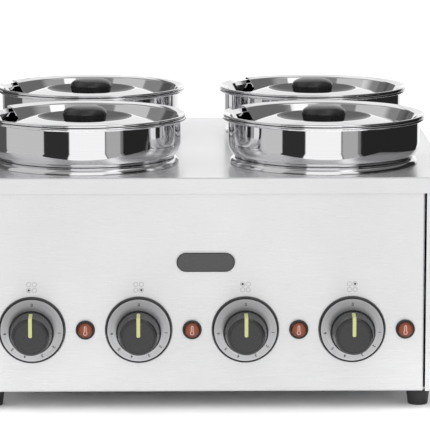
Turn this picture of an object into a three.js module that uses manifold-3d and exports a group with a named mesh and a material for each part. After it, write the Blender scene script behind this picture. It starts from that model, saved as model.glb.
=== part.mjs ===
// Counter-top bain-marie with four round lift-out pots, each with its own well, heater and thermostat.
// Millimetres, +Z up. The control panel faces -Y and the cord gland is at the back.
import * as THREE from "three";
import { mergeVertices } from "three/addons/utils/BufferGeometryUtils.js";
import Module from "manifold-3d";

const wasm = await Module();
wasm.setup();

// ---- Driving dimensions -------------------------------------------------------------------------

const GAP = 0.3; // clearance between touching pieces
const ROUND = 24; // facets of the large round pieces
const SMALL_ROUND = 16; // facets of the small round pieces

// Casing
const CASING = { width: 520, depth: 501, height: 229.4, sheet: 1.5, corner: 2 };
const APRON = 17; // height of the top plate's turned-down edge
const RETURN = 12; // depth of the panels' folded edges
const SEAM = 2.4; // open seam between the front panel and each side panel
const SIDE_RETURN = 25; // width of each side panel's strip beside the front panel
const FOOT = { height: 20, topRadius: 13, bottomRadius: 10.5, inset: 32.5 };

// Pots, lids and wells: heights are above the top plate, radii are from each pot's centre line
const POT_SPACING = 259;
const POT_FRONT_MARGIN = 118; // front pots' centres behind the apron's face
const POT = {
  bodyRadius: 92, wallRadius: 104, sheet: 1, bottom: -125, bottomCorner: 12,
  shoulderTop: 24, shoulderRadius: 22, beadRadius: 1.6, beadCentre: [108.4, 49.3],
};
const LID = {
  sheet: 1, centreHeight: 43.6, ridgeRadius: 51, ridgeHeight: 50.5, troughRadius: 94, troughHeight: 38,
  wallTop: [101.4, 50.6], beadRadius: 1.4, beadCentre: [108, 52.7],
};
const NOTCH = { width: 32, innerRadius: 88 }; // ladle notch in each lid's rim
const LID_KNOB = { bottom: 45, baseRadius: 22.4, radius: 24, bandTop: 53.4, top: 62.2 };
const WELL = {
  outerRadius: 96.7, sheet: 1.2, bottom: -133.2, bottomCorner: 14,
  collarCentre: 95.2, collarRadius: 6.8,
};
const HEATER = { outerRadius: 76, innerRadius: 26, thickness: 8 };

// Controls on the front panel: places are measured from the panel's centre and from its bottom edge
const CONTROL_HEIGHT = 67.1;
const CONTROL_PITCH = 112.7;
const FIRST_CONTROL = -183.5;
const DIAL = { radius: 35.7, faceRadius: 33.2, thickness: 5, boreRadius: 5 };
const KNOB = {
  skirtRadius: 24, skirtBack: 6, skirtFront: 17.5,
  faceRadius: 18.6, front: 41.8, stemRadius: 4.2,
};
const POINTER = { width: 3.6, thickness: 0.7, skirtMargin: 1.5 };
const THERMOSTAT = { width: 44, height: 42, depth: 32, socketDepth: 12 };
const LAMP = {
  flangeRadius: 10.2, flange: 3, recess: 1, bodyRadius: 7.6, bodyLength: 24, lensRadius: 8, lensFront: 5.4,
};
const BADGE = { width: 63, height: 22, thickness: 1.6, centreHeight: 139.4 };

// Cord outlet, terminal block and rating plate at the back
const GLAND = {
  x: 190, height: 40, boreRadius: 4.6, threadRadius: 7.5, nutRadius: 12, nutLength: 6, domeRadius: 9.5,
  length: 18, inside: 8,
};
const TERMINAL_BLOCK = { width: 60, depth: 20, height: 18, poles: 5, screwRadius: 2.6, screwDepth: 10 };
const RATING_PLATE = { width: 84, height: 50, thickness: 0.6, x: 60, centreHeight: 120 };

// ---- Derived places ---------------------------------------------------------------------------

const casingBottom = FOOT.height;
const plateTop = casingBottom + CASING.height;
const plateUnderside = plateTop - CASING.sheet;
const sideX = CASING.width / 2 - CASING.sheet - GAP; // outer face of each side panel, inside the apron
const frontY = CASING.sheet + GAP; // outer face of the front panel
const backY = CASING.depth - CASING.sheet - GAP; // outer face of the rear panel
const panelTop = plateUnderside - GAP;
const frontPanelHalf = sideX - SIDE_RETURN - SEAM;
const controlZ = casingBottom + CONTROL_HEIGHT;
const panelBack = frontY + CASING.sheet;
const potOpening = WELL.outerRadius + GAP;

const POT_PLACES = [
  { name: "front_left", x: -POT_SPACING / 2, y: POT_FRONT_MARGIN, notch: 151.5 },
  { name: "front_right", x: POT_SPACING / 2, y: POT_FRONT_MARGIN, notch: 152.5 },
  { name: "rear_left", x: -POT_SPACING / 2, y: POT_FRONT_MARGIN + POT_SPACING, notch: 159 },
  { name: "rear_right", x: POT_SPACING / 2, y: POT_FRONT_MARGIN + POT_SPACING, notch: 143 },
];

// ---- Materials ------------------------------------------------------------------------------------

function finish(color, roughness, metalness) {
  return () => new THREE.MeshStandardMaterial({ color, roughness, metalness });
}

const brushedSteel = finish(0xd9dadb, 0.34, 1);
const polishedSteel = finish(0xd2d3d5, 0.08, 1);
const tankSteel = finish(0xb9bbbd, 0.4, 1);
const heaterAlloy = finish(0x9b9c9e, 0.55, 0.9);
const blackPlastic = finish(0x2b2b2d, 0.42, 0);
const lidKnobPlastic = finish(0x242425, 0.38, 0);
const dialPlastic = finish(0x1f1f21, 0.35, 0);
const pointerPaint = finish(0xcdd06a, 0.5, 0);
const amberLens = finish(0xa8411c, 0.18, 0);
const badgePlastic = finish(0x55575a, 0.3, 0);
const footRubber = finish(0x2d2d2e, 0.8, 0);
const whitePlastic = finish(0xe8e6de, 0.55, 0);
const labelFoil = finish(0xc6c8ca, 0.4, 0.7);

// ---- Geometry helpers -------------------------------------------------------------------------------

// The solid that a closed surface bounds.
function toSolid(geometry) {
  const plain = geometry.clone();
  plain.deleteAttribute("normal");
  plain.deleteAttribute("uv");
  const merged = mergeVertices(plain, 1e-4);
  const corners = merged.index.array;
  const kept = [];
  for (let i = 0; i < corners.length; i += 3) {
    const [a, b, c] = [corners[i], corners[i + 1], corners[i + 2]];
    if (a !== b && b !== c && c !== a) kept.push(a, b, c);
  }
  const mesh = new wasm.Mesh({
    numProp: 3,
    vertProperties: new Float32Array(merged.attributes.position.array),
    triVerts: new Uint32Array(kept),
  });
  mesh.merge();
  return new wasm.Manifold(mesh);
}

function fromSolid(solid) {
  const mesh = solid.getMesh();
  const geometry = new THREE.BufferGeometry();
  geometry.setAttribute("position", new THREE.BufferAttribute(new Float32Array(mesh.vertProperties), 3));
  geometry.setIndex(new THREE.BufferAttribute(new Uint32Array(mesh.triVerts), 1));
  geometry.computeVertexNormals();
  return geometry;
}

function subtract(geometry, ...cutters) {
  let solid = toSolid(geometry);
  for (const cutter of cutters) solid = solid.subtract(toSolid(cutter));
  return fromSolid(solid);
}

function join(geometry, ...others) {
  let solid = toSolid(geometry);
  for (const other of others) solid = solid.add(toSolid(other));
  return fromSolid(solid);
}

// A box given by its lowest and highest corners.
function box([x0, y0, z0], [x1, y1, z1]) {
  const geometry = new THREE.BoxGeometry(x1 - x0, y1 - y0, z1 - z0);
  return geometry.translate((x0 + x1) / 2, (y0 + y1) / 2, (z0 + z1) / 2);
}

// A solid of revolution about Z from [radius, height] points. The outline starts and ends on the axis,
// or it is a ring's section, which is closed here.
function turned(outline, facets) {
  const points = outline.map(([radius, height]) => new THREE.Vector2(radius, height));
  if (THREE.ShapeUtils.isClockWise(points)) points.reverse();
  if (points[0].x > 1e-6) points.push(points[0].clone());
  return new THREE.LatheGeometry(points, facets).rotateX(Math.PI / 2);
}

// A solid of revolution whose heights run out of the front panel, towards -Y.
function turnedForward(outline, facets) {
  return turned(outline, facets).rotateX(Math.PI / 2);
}

function cylinder(radius, low, high, facets) {
  return turned([[0, low], [radius, low], [radius, high], [0, high]], facets);
}

function cylinderForward(radius, low, high, facets) {
  return turnedForward([[0, low], [radius, low], [radius, high], [0, high]], facets);
}

// Points on an arc in the plane of an outline, angles in degrees.
function arc([centreX, centreY], radius, from, to, steps) {
  const points = [];
  for (let i = 0; i <= steps; i += 1) {
    const angle = THREE.MathUtils.degToRad(from + ((to - from) * i) / steps);
    points.push([centreX + radius * Math.cos(angle), centreY + radius * Math.sin(angle)]);
  }
  return points;
}

// Evenly spaced values from start up to, but not including, end.
function steps(start, end, count) {
  return Array.from({ length: count }, (_, i) => start + ((end - start) * i) / count);
}

// The path moved sideways by distance, to its left as it is walked.
function offsetPath(path, distance) {
  return path.map((point, i) => {
    const before = path[Math.max(i - 1, 0)];
    const after = path[Math.min(i + 1, path.length - 1)];
    const [dx, dy] = [after[0] - before[0], after[1] - before[1]];
    const length = Math.hypot(dx, dy);
    const radius = point[0] < 1e-6 ? 0 : point[0] - (dy / length) * distance;
    return [radius, point[1] + (dx / length) * distance];
  });
}

// A rectangle with rounded corners, centred on the origin.
function roundedRectangle(width, height, radius) {
  const [x, y] = [width / 2 - radius, height / 2 - radius];
  const shape = new THREE.Shape();
  shape.absarc(x, y, radius, 0, Math.PI / 2);
  shape.absarc(-x, y, radius, Math.PI / 2, Math.PI);
  shape.absarc(-x, -y, radius, Math.PI, 1.5 * Math.PI);
  shape.absarc(x, -y, radius, 1.5 * Math.PI, 2 * Math.PI);
  shape.closePath();
  return shape;
}

function extruded(shape, depth, curveSegments) {
  return new THREE.ExtrudeGeometry(shape, { depth, bevelEnabled: false, curveSegments });
}

// A bar along X, centred on x = 0, whose section is given by [y, z] points.
function barAlongX(section, width) {
  const shape = new THREE.Shape(section.map(([y, z]) => new THREE.Vector2(y, z)));
  const toWorld = new THREE.Matrix4().makeBasis(
    new THREE.Vector3(0, 1, 0), new THREE.Vector3(0, 0, 1), new THREE.Vector3(1, 0, 0));
  return extruded(shape, width, 1).translate(0, 0, -width / 2).applyMatrix4(toWorld);
}

// ---- Casing -----------------------------------------------------------------------------------

// A shallow tray: the top plate with its turned-down apron and a round opening over each well.
function topPlate() {
  const { width, depth, sheet, corner } = CASING;
  const outer = extruded(roundedRectangle(width, depth, corner), APRON, 3);
  const inner = extruded(roundedRectangle(width - 2 * sheet, depth - 2 * sheet, corner - sheet), APRON, 3);
  outer.translate(0, depth / 2, plateTop - APRON);
  inner.translate(0, depth / 2, plateUnderside - APRON);
  const openings = POT_PLACES.map(({ x, y }) =>
    cylinder(potOpening, plateUnderside - 1, plateTop + 1, ROUND).translate(x, y, 0));
  return subtract(outer, inner, ...openings);
}

// A sheet panel standing in XZ with its face towards -Y at y = 0 and four edges folded back to +Y.
function foldedPanel(x0, x1, z0, z1) {
  const { sheet } = CASING;
  const block = box([x0, 0, z0], [x1, RETURN, z1]);
  const hollow = box([x0 + sheet, sheet, z0 + sheet], [x1 - sheet, RETURN + 1, z1 - sheet]);
  return subtract(block, hollow);
}

function frontPanel() {
  const panel = foldedPanel(-frontPanelHalf, frontPanelHalf, casingBottom, panelTop).translate(0, frontY, 0);
  const holes = [];
  for (let i = 0; i < POT_PLACES.length; i += 1) {
    holes.push(cylinderForward(DIAL.boreRadius, -10, 10, SMALL_ROUND).translate(controlX(i), 0, controlZ));
    holes.push(cylinderForward(LAMP.bodyRadius + GAP, -10, 10, SMALL_ROUND).translate(lampX(i), 0, controlZ));
  }
  return subtract(panel, ...holes);
}

function rearPanel() {
  const half = sideX - CASING.sheet - GAP;
  const panel = foldedPanel(-half, half, casingBottom, panelTop).rotateZ(Math.PI).translate(0, backY, 0);
  const outlet = cylinderForward(GLAND.threadRadius + GAP, -10, 10, SMALL_ROUND);
  return subtract(panel, outlet.translate(GLAND.x, backY, casingBottom + GLAND.height));
}

// A side panel: a flat sheet with a strip folded round beside the front panel. Side is -1 or 1.
function sidePanel(side) {
  const { sheet } = CASING;
  const [outerX, innerX] = [side * sideX, side * (sideX - sheet)];
  const stripX = side * (sideX - SIDE_RETURN);
  const sheetPart = box(
    [Math.min(outerX, innerX), frontY, casingBottom],
    [Math.max(outerX, innerX), backY, panelTop]);
  const strip = box(
    [Math.min(outerX, stripX), frontY, casingBottom],
    [Math.max(outerX, stripX), frontY + sheet, panelTop]);
  return join(sheetPart, strip);
}

// The floor of the casing, between the panels' folded edges.
function basePlate() {
  const half = sideX - CASING.sheet - GAP;
  const [low, high] = [frontY + RETURN + GAP, backY - RETURN - GAP];
  return box([-half, low, casingBottom], [half, high, casingBottom + CASING.sheet]);
}

function foot() {
  return turned([
    [0, 0], [FOOT.bottomRadius - 1, 0], [FOOT.bottomRadius, 1], [FOOT.topRadius, FOOT.height - 1.5],
    [FOOT.topRadius, FOOT.height - GAP], [0, FOOT.height - GAP],
  ], SMALL_ROUND);
}

// ---- Wells and heaters --------------------------------------------------------------------------

// A pressed round tank with a half-round collar that sits on the top plate.
function well() {
  const { outerRadius, sheet, bottom, bottomCorner, collarCentre, collarRadius } = WELL;
  const cornerCentre = [outerRadius - bottomCorner, bottom + bottomCorner];
  const outside = [[0, bottom], ...arc(cornerCentre, bottomCorner, -90, 0, 2), [outerRadius, GAP]];
  const inside = offsetPath(outside, sheet);
  const collar = arc([collarCentre, GAP], collarRadius, 0, 78, 3);
  return turned([...outside, ...collar, [outerRadius - sheet, collarRadius - 0.7], ...inside.reverse()], ROUND);
}

// A flat ring heater clamped under the well.
function heater() {
  const top = WELL.bottom - GAP;
  const bottom = top - HEATER.thickness;
  return turned([
    [HEATER.innerRadius, bottom], [HEATER.outerRadius, bottom], [HEATER.outerRadius, top],
    [HEATER.innerRadius, top],
  ], SMALL_ROUND);
}

// ---- Pots and lids ------------------------------------------------------------------------------

// A pot with a straight wall above the plate, a curved shoulder on the collar and a narrower body in the well.
function pot() {
  const { bodyRadius, wallRadius, sheet, bottom, bottomCorner, shoulderTop, shoulderRadius } = POT;
  const { beadRadius, beadCentre } = POT;
  const shoulderCentre = [wallRadius - shoulderRadius, shoulderTop];
  const shoulderFoot = -THREE.MathUtils.radToDeg(Math.acos((bodyRadius - shoulderCentre[0]) / shoulderRadius));
  const outside = [
    [0, bottom],
    ...arc([bodyRadius - bottomCorner, bottom + bottomCorner], bottomCorner, -90, 0, 2),
    ...arc(shoulderCentre, shoulderRadius, shoulderFoot, 0, 3),
    [wallRadius, beadCentre[1] - 2.6],
  ];
  const inside = offsetPath(outside, sheet);
  const bead = arc(beadCentre, beadRadius, -150, 130, 4);
  return turned([...outside, ...bead, ...inside.reverse()], ROUND);
}

// The height of a lid's upper surface: a dished centre, a round ridge, and a cone down to the trough.
function lidHeight(radius) {
  const { centreHeight, ridgeRadius, ridgeHeight, troughRadius, troughHeight } = LID;
  if (radius <= ridgeRadius) return centreHeight + (ridgeHeight - centreHeight) * (radius / ridgeRadius) ** 2.4;
  return ridgeHeight - (ridgeHeight - troughHeight) * ((radius - ridgeRadius) / (troughRadius - ridgeRadius)) ** 1.2;
}

// A lid that hangs in the pot's mouth from its beaded rim, with a notch cut through rim and wall.
function lid(notchAngle) {
  const { sheet, ridgeRadius, troughRadius, troughHeight, wallTop, beadRadius, beadCentre } = LID;
  const radii = [...steps(0, ridgeRadius, 3), ...steps(ridgeRadius, troughRadius, 2), troughRadius];
  const upper = [
    ...radii.map((radius) => [radius, lidHeight(radius)]),
    wallTop,
    [wallTop[0] + 1.6, wallTop[1] + 1.6],
  ];
  const lower = offsetPath(upper, -sheet);
  const bead = arc(beadCentre, beadRadius, -110, 120, 3);
  const shell = turned([...lower, ...bead, ...upper.reverse()], ROUND);
  const cutter = box([NOTCH.innerRadius, -NOTCH.width / 2, 20], [130, NOTCH.width / 2, 70]);
  return subtract(shell, cutter.rotateZ(THREE.MathUtils.degToRad(notchAngle)));
}

// A round moulded grip: a slightly tapered band under a low dome.
function lidKnob() {
  const { bottom, baseRadius, radius, bandTop, top } = LID_KNOB;
  const dome = steps(0, Math.PI / 2, 4).map((angle) => [
    radius * Math.cos(angle) ** 0.6,
    bandTop + (top - bandTop) * Math.sin(angle) ** 1.1,
  ]);
  return turned([[0, bottom], [baseRadius, bottom], ...dome, [0, top]], SMALL_ROUND);
}

// ---- Controls -----------------------------------------------------------------------------------

function controlX(index) {
  return FIRST_CONTROL + index * CONTROL_PITCH;
}

function lampX(index) {
  return controlX(index) + CONTROL_PITCH / 2;
}

// A round scale plate with a sloping rim, flat against the panel.
function dial() {
  const { radius, faceRadius, thickness, boreRadius } = DIAL;
  return turnedForward([
    [boreRadius, GAP], [radius, GAP], [radius, 1.2], [faceRadius, thickness], [boreRadius, thickness],
  ], ROUND);
}

// A knob with a skirt, a tapered grip, and a stem that reaches into the thermostat.
function controlKnob() {
  const { skirtRadius, skirtBack, skirtFront, faceRadius, front, stemRadius } = KNOB;
  const stemEnd = -panelDepth() - THERMOSTAT.socketDepth + 2;
  return turnedForward([
    [0, stemEnd], [stemRadius, stemEnd], [stemRadius, skirtBack], [skirtRadius, skirtBack],
    [skirtRadius, skirtFront], [skirtRadius - 1, skirtFront], [faceRadius + 1.2, front - 2.6],
    [faceRadius - 1, front], [0, front],
  ], SMALL_ROUND);
}

function panelDepth() {
  return CASING.sheet + GAP;
}

// The coloured inlay that runs up the knob's grip and over its face to the centre.
function knobPointer() {
  const { skirtFront, skirtRadius, faceRadius, front } = KNOB;
  const { width, thickness, skirtMargin } = POINTER;
  const clear = 2 * GAP;
  const [gripFoot, gripHead] = [skirtRadius - 1, faceRadius + 1.2];
  const slope = (gripFoot - gripHead) / (front - 2.6 - skirtFront);
  const gripRadius = (out) => gripFoot - slope * (out - skirtFront) + clear;
  const [start, bend, face] = [skirtFront + skirtMargin, front - 1.6, front + clear];
  return barAlongX([
    [-start, gripRadius(start)], [-bend, gripRadius(bend)], [-face, faceRadius - 1.4], [-face, 0],
    [-face - thickness, 0], [-face - thickness, faceRadius - 0.8], [-bend, gripRadius(bend) + thickness],
    [-start, gripRadius(start) + thickness],
  ], width);
}

// The thermostat's body behind the panel, with the socket that takes the knob's stem.
function thermostat() {
  const { width, height, depth, socketDepth } = THERMOSTAT;
  const body = box([-width / 2, 0, -height / 2], [width / 2, depth, height / 2]);
  return subtract(body, cylinderForward(KNOB.stemRadius + 2 * GAP, -socketDepth, 1, SMALL_ROUND));
}

// A pilot lamp's black holder: a flange with a shallow recess, and a body through the panel.
function lampHolder() {
  const { flangeRadius, flange, recess, bodyRadius, bodyLength, lensRadius } = LAMP;
  return turnedForward([
    [0, -bodyLength], [bodyRadius, -bodyLength], [bodyRadius, GAP], [flangeRadius, GAP],
    [flangeRadius, flange], [lensRadius + GAP, flange],
    [lensRadius + GAP, recess], [0, recess],
  ], SMALL_ROUND);
}

function lampLens() {
  const { lensRadius, recess, flange, lensFront } = LAMP;
  const base = recess + GAP;
  return turnedForward([
    [0, base], [lensRadius, base], [lensRadius, flange], [lensRadius * 0.8, lensFront - 0.7], [0, lensFront],
  ], SMALL_ROUND);
}

// A blank pill-shaped plate.
function badge() {
  const { width, height, thickness } = BADGE;
  return extruded(roundedRectangle(width, height, height / 2 - 0.05), thickness, 8).rotateX(Math.PI / 2);
}

// ---- Back ---------------------------------------------------------------------------------------

// A cord gland with a thread through the panel, a nut and a domed cap, and a bore for the cord.
function cordGland() {
  const { boreRadius, threadRadius, nutRadius, nutLength, domeRadius, length, inside } = GLAND;
  return turnedForward([
    [boreRadius, -inside], [threadRadius, -inside], [threadRadius, GAP], [nutRadius, GAP],
    [nutRadius, nutLength], [domeRadius, nutLength + 1], [domeRadius, length - 4],
    [domeRadius - 2.5, length], [boreRadius, length],
  ], SMALL_ROUND).rotateZ(Math.PI);
}

function terminalBlock() {
  const { width, depth, height, poles, screwRadius, screwDepth } = TERMINAL_BLOCK;
  const body = box([-width / 2, -depth / 2, 0], [width / 2, depth / 2, height]);
  const screws = steps(-width / 2, width / 2, poles).map((x) =>
    cylinder(screwRadius, height - screwDepth, height + 1, 8).translate(x + width / poles / 2, 0, 0));
  return subtract(body, ...screws);
}

function ratingPlate() {
  const { width, height, thickness } = RATING_PLATE;
  return box([-width / 2, 0, -height / 2], [width / 2, thickness, height / 2]);
}

// ---- Assembly -------------------------------------------------------------------------------------

function piece(name, geometry, material, [x, y, z] = [0, 0, 0]) {
  const mesh = new THREE.Mesh(geometry, material());
  mesh.name = name;
  mesh.position.set(x, y, z);
  return mesh;
}

function casing() {
  const group = new THREE.Group();
  group.add(piece("top_plate", topPlate(), brushedSteel));
  group.add(piece("front_panel", frontPanel(), brushedSteel));
  group.add(piece("left_panel", sidePanel(-1), brushedSteel));
  group.add(piece("right_panel", sidePanel(1), brushedSteel));
  group.add(piece("rear_panel", rearPanel(), brushedSteel));
  group.add(piece("base_plate", basePlate(), tankSteel));
  group.add(piece("badge", badge(), badgePlastic, [0, frontY - GAP, casingBottom + BADGE.centreHeight]));
  for (const [name, x, y] of footPlaces()) group.add(piece(name, foot(), footRubber, [x, y, 0]));
  return group;
}

function footPlaces() {
  const x = CASING.width / 2 - FOOT.inset;
  const [front, rear] = [FOOT.inset, CASING.depth - FOOT.inset];
  return [
    ["foot_front_left", -x, front], ["foot_front_right", x, front],
    ["foot_rear_left", -x, rear], ["foot_rear_right", x, rear],
  ];
}

// One cooking place: a well with its heater under the plate, and a pot with its lid and lid knob.
function potStation({ name, notch }) {
  const group = new THREE.Group();
  group.add(piece(`well_${name}`, well(), tankSteel));
  group.add(piece(`heater_${name}`, heater(), heaterAlloy));
  group.add(piece(`pot_${name}`, pot(), polishedSteel));
  group.add(piece(`lid_${name}`, lid(notch), polishedSteel));
  group.add(piece(`lid_knob_${name}`, lidKnob(), lidKnobPlastic));
  return group;
}

// One place on the control panel: a knob on its dial with its thermostat, and the pilot lamp beside it.
function controlStation({ name }) {
  const group = new THREE.Group();
  group.add(piece(`dial_${name}`, dial(), dialPlastic));
  group.add(piece(`knob_${name}`, controlKnob(), blackPlastic));
  group.add(piece(`knob_pointer_${name}`, knobPointer(), pointerPaint));
  group.add(piece(`thermostat_${name}`, thermostat(), whitePlastic, [0, panelDepth(), 0]));
  group.add(piece(`lamp_holder_${name}`, lampHolder(), blackPlastic, [CONTROL_PITCH / 2, 0, 0]));
  group.add(piece(`lamp_lens_${name}`, lampLens(), amberLens, [CONTROL_PITCH / 2, 0, 0]));
  return group;
}

function backFittings() {
  const group = new THREE.Group();
  const blockPlace = [GLAND.x, backY - 60, casingBottom + CASING.sheet + GAP];
  const platePlace = [RATING_PLATE.x, backY + GAP, casingBottom + RATING_PLATE.centreHeight];
  group.add(piece("cord_gland", cordGland(), blackPlastic, [GLAND.x, backY, casingBottom + GLAND.height]));
  group.add(piece("terminal_block", terminalBlock(), whitePlastic, blockPlace));
  group.add(piece("rating_plate", ratingPlate(), labelFoil, platePlace));
  return group;
}

function bainMarie() {
  const unit = new THREE.Group();
  unit.add(casing(), backFittings());
  POT_PLACES.forEach((place, index) => {
    const cooking = potStation(place);
    cooking.position.set(place.x, place.y, plateTop);
    const control = controlStation(place);
    control.position.set(controlX(index), frontY, controlZ);
    unit.add(cooking, control);
  });
  // The origin lies on the floor under the middle of the whole outline, knobs and gland included.
  const frontmost = frontY - KNOB.front - 2 * GAP - POINTER.thickness;
  const rearmost = backY + GLAND.length;
  unit.position.y = -(frontmost + rearmost) / 2;
  return unit;
}

const model = new THREE.Group();
model.add(bainMarie());
export default model;
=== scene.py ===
"""A counter-top bain-marie with four round lift-out pots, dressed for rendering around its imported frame.

Lengths named here are millimetres and are turned to metres when a mesh is made. A shape is a pair
(points, faces). Round pieces are built about their own Z axis, and the pieces on the control panel are
built with Z pointing out of the panel.
"""

import math

import bmesh
import bpy
from mathutils import Matrix, Vector


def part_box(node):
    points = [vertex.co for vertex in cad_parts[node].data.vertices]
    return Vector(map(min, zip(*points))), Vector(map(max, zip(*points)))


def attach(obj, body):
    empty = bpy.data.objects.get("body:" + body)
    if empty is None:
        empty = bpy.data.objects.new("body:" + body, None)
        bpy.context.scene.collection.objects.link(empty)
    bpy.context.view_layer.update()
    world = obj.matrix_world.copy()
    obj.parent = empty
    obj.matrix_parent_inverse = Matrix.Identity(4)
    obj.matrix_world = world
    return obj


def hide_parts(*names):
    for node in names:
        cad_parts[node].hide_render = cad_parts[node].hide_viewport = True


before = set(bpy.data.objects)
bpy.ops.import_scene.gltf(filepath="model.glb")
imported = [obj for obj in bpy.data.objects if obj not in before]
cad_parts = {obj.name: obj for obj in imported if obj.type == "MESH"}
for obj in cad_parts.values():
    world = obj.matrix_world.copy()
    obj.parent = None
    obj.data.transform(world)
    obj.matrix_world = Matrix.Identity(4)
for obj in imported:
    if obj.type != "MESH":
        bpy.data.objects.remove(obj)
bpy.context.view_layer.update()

MM = 0.001
FINE = 144  # facets round the large turned pieces
SMALL = 72  # facets round the small ones
BRUSHING = "brushing"  # the UV map whose U runs along the steel's brushing
SOFT_ANGLE = math.radians(33)  # faces that meet at less than this are shaded as one surface
STATIONS = ("front_left", "front_right", "rear_left", "rear_right")

# ---- Dimensions -------------------------------------------------------------------------------------

SHEET = 1.5  # the casing's steel
BEND = 2.0  # outside radius of its folds
SIDE_RETURN = 25.6  # the side panels' strips beside the front panel

# Pots, lids and wells: heights are above the top plate, and a bead's centre is given as (radius, height).
POT = {
    "body_radius": 92.0, "wall_radius": 104.0, "sheet": 1.0, "bottom": -125.0, "bottom_corner": 12.0,
    "shoulder_top": 24.0, "shoulder_radius": 22.0, "wall_top": 46.7,
    "bead": (108.4, 49.3), "bead_radius": 1.6,
}
LID = {
    "sheet": 1.0, "centre": 43.6, "dish_radius": 49.0, "ridge_radius": 51.0, "ridge": 50.5,
    "trough_radius": 94.0, "trough": 38.0, "wall_top": (101.4, 50.6),
    "bead": (108.0, 52.7), "bead_radius": 1.4,
}
NOTCH = {"width": 32.0, "inner_radius": 88.0, "corner": 4.0}
NOTCH_ANGLES = {"front_left": 151.5, "front_right": 152.5, "rear_left": 159.0, "rear_right": 143.0}
LID_KNOB = {"bottom": 45.0, "base_radius": 22.4, "radius": 24.0, "band_top": 53.4, "top": 62.2}
WELL = {
    "outer_radius": 96.7, "sheet": 1.2, "bottom": -133.2, "bottom_corner": 14.0,
    "collar_centre": 95.2, "collar_radius": 6.8, "lift": 0.3,
}
# Controls: distances are in front of the panel's face, except for radii and widths.
DIAL = {"radius": 35.7, "scale_radius": 33.2, "bore": 5.0, "floor": 3.9, "front": 5.0}
KNOB = {
    "skirt": 24.0, "back": 6.0, "skirt_front": 17.5, "foot": 22.6, "head": 19.8, "front": 41.8,
    "stem": 4.2, "stem_end": -11.8,
}
POINTER = {"start": 24.6, "width": 3.8, "thickness": 0.7, "crown": 0.12, "slot_width": 4.3, "slot_depth": 1.6}
LAMP = {"flange": 10.2, "barrel": 7.6, "recess": 8.2, "lens": 7.9, "panel_hole": 7.9}
SYMBOL_HEIGHT = 45.6  # the printed pot symbol above the knob's axis
NUMERAL_SIZE = 4.5
GLAND_HOLE = 7.8
NUMERALS = (  # digit, degrees clockwise, distance from the middle
    (0, 0.5, 27.4), (1, 95, 28.8), (2, 127, 28.8), (3, 158, 28.8),
    (4, 195, 28.8), (5, 226, 28.8), (6, 263, 28.8),
)
REAR_SCREWS = ((-230.0, 205.0), (0.0, 205.0), (230.0, 205.0), (-230.0, 22.0), (0.0, 22.0), (230.0, 22.0))

# ---- Outlines ---------------------------------------------------------------------------------------


def rounded(corners, steps=5):
    """The outline through corners (x, y) or (x, y, radius), with an arc at each that has a radius."""
    outline = []
    for i, (x, y, *radius) in enumerate(corners):
        if not radius:
            outline.append((x, y))
            continue
        corner = Vector((x, y))
        before = (Vector(corners[i - 1][:2]) - corner).normalized()
        after = (Vector(corners[(i + 1) % len(corners)][:2]) - corner).normalized()
        half = before.angle(after) / 2
        centre = corner + (before + after).normalized() * radius[0] / math.sin(half)
        start = corner + before * radius[0] / math.tan(half) - centre
        end = corner + after * radius[0] / math.tan(half) - centre
        sweep = math.atan2(start.x * end.y - start.y * end.x, start.dot(end))
        for step in range(steps + 1):
            angle = sweep * step / steps
            outline.append((
                centre.x + start.x * math.cos(angle) - start.y * math.sin(angle),
                centre.y + start.x * math.sin(angle) + start.y * math.cos(angle),
            ))
    return outline


def arc(centre, radius, start, end, steps):
    """Points on an arc, angles in degrees."""
    angles = [math.radians(start + (end - start) * i / steps) for i in range(steps + 1)]
    return [(centre[0] + radius * math.cos(a), centre[1] + radius * math.sin(a)) for a in angles]


def spaced(start, end, count):
    """Evenly spaced values from start up to, but not including, end."""
    return [start + (end - start) * i / count for i in range(count)]


def offset(path, distance):
    """The path moved sideways by distance, to its left as it is walked."""
    moved = []
    for i, (x, y) in enumerate(path):
        x0, y0 = path[max(i - 1, 0)]
        x1, y1 = path[min(i + 1, len(path) - 1)]
        length = math.hypot(x1 - x0, y1 - y0)
        across = x - (y1 - y0) / length * distance
        moved.append((across if x > 1e-6 else 0.0, y + (x1 - x0) / length * distance))
    return moved


def rounded_rectangle(width, height, corner, level, steps=6):
    """A loop of points at one level, with rounded corners, centred on the origin."""
    x, y = width / 2 - corner, height / 2 - corner
    loop = []
    for centre, start in (((x, y), 0), ((-x, y), 90), ((-x, -y), 180), ((x, -y), 270)):
        loop += [(px, py, level) for px, py in arc(centre, corner, start, start + 90, steps)]
    return loop


# ---- Shapes -----------------------------------------------------------------------------------------


def turned(outline, facets=FINE):
    """A solid of revolution about Z. Its outline runs from axis to axis, or round a ring's section."""
    points, rings = [], []
    for radius, height in outline:
        count = facets if radius > 1e-6 else 1
        rings.append(range(len(points), len(points) + count))
        for k in range(count):
            angle = 2 * math.pi * k / facets
            points.append((radius * math.cos(angle), radius * math.sin(angle), height))
    if outline[0][0] > 1e-6:
        rings.append(rings[0])
    faces = []
    for lower, upper in zip(rings, rings[1:]):
        for k in range(facets):
            a, b = k % len(lower), (k + 1) % len(lower)
            c, d = (k + 1) % len(upper), k % len(upper)
            faces.append(list(dict.fromkeys((lower[a], lower[b], upper[c], upper[d]))))
    return points, faces


def lofted(loops):
    """A closed solid through loops that have the same number of points."""
    points = [point for loop in loops for point in loop]
    count = len(loops[0])
    faces = [list(range(count))[::-1]]
    for i in range(len(loops) - 1):
        for k in range(count):
            a, b = i * count + k, i * count + (k + 1) % count
            faces.append([a, b, b + count, a + count])
    faces.append([(len(loops) - 1) * count + k for k in range(count)])
    return points, faces


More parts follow.
